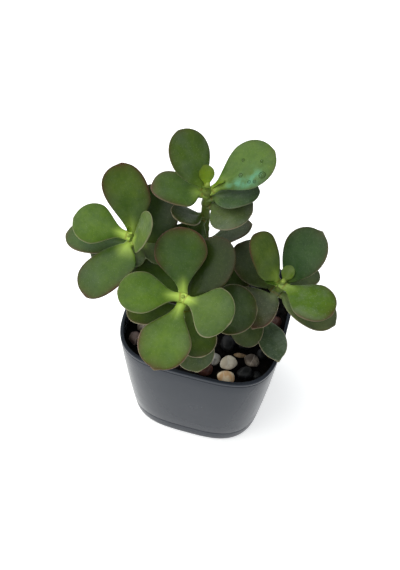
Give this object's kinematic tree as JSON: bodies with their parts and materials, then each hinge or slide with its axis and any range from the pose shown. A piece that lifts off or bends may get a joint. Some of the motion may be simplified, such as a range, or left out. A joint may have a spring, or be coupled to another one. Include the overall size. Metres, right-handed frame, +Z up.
{
  "type": "potted jade plant",
  "caption": "Small jade plant: upright fleshy stems carrying pairs of thick oval leaves, rooted in pebble-topped compost in a rounded-square plastic pot with a saucer.",
  "frame": {"origin": "centre of the saucer's flat underside, where the pot stands on a table", "axes": "+Z up through the pot's middle; X and Y square to the pot's flat sides; -Y is the side that the lowest and broadest rosette leans out over, and +X is to the right when that side is seen"},
  "size_m": [0.2074, 0.1591, 0.2539],
  "materials": {
    "pot_plastic": "smooth moulded dark grey plastic with a soft shine",
    "compost": null,
    "stem": null,
    "leaf": null,
    "pale_stone": "cream and orange water-worn pebble, satin",
    "brown_stone": "red-brown water-worn pebble, satin",
    "dark_stone": "black water-worn pebble, satin"
  },
  "bodies": {
    "root": {"saucer": "pot_plastic", "pot": "pot_plastic", "soil": "compost", "stem_front": "stem", "leaf_front_1": "leaf", "leaf_front_2": "leaf", "leaf_front_3": "leaf", "leaf_front_4": "leaf", "leaf_front_5": "leaf", "leaf_front_6": "leaf", "leaf_front_7": "leaf", "leaf_front_8": "leaf", "leaf_front_9": "leaf", "leaf_front_10": "leaf", "stem_left": "stem", "leaf_left_1": "leaf", "leaf_left_2": "leaf", "leaf_left_3": "leaf", "leaf_left_4": "leaf", "leaf_left_5": "leaf", "leaf_left_6": "leaf", "leaf_left_7": "leaf", "stem_back": "stem", "leaf_back_1": "leaf", "leaf_back_2": "leaf", "leaf_back_3": "leaf", "leaf_back_4": "leaf", "leaf_back_5": "leaf", "leaf_back_6": "leaf", "leaf_back_7": "leaf", "leaf_back_8": "leaf", "leaf_back_9": "leaf", "leaf_back_10": "leaf", "stem_right": "stem", "leaf_right_1": "leaf", "leaf_right_2": "leaf", "leaf_right_3": "leaf", "leaf_right_4": "leaf", "leaf_right_5": "leaf", "leaf_right_6": "leaf", "leaf_right_7": "leaf", "leaf_right_8": "leaf", "leaf_right_9": "leaf", "leaf_right_10": "leaf", "leaf_right_11": "leaf", "pebble_1": "pale_stone", "pebble_2": "pale_stone", "pebble_3": "pale_stone", "pebble_4": "brown_stone", "pebble_5": "brown_stone", "pebble_6": "brown_stone", "pebble_7": "dark_stone", "pebble_8": "dark_stone", "pebble_9": "brown_stone", "pebble_10": "brown_stone", "pebble_11": "brown_stone", "pebble_12": "pale_stone", "pebble_13": "dark_stone"}
  },
  "joints": []
}
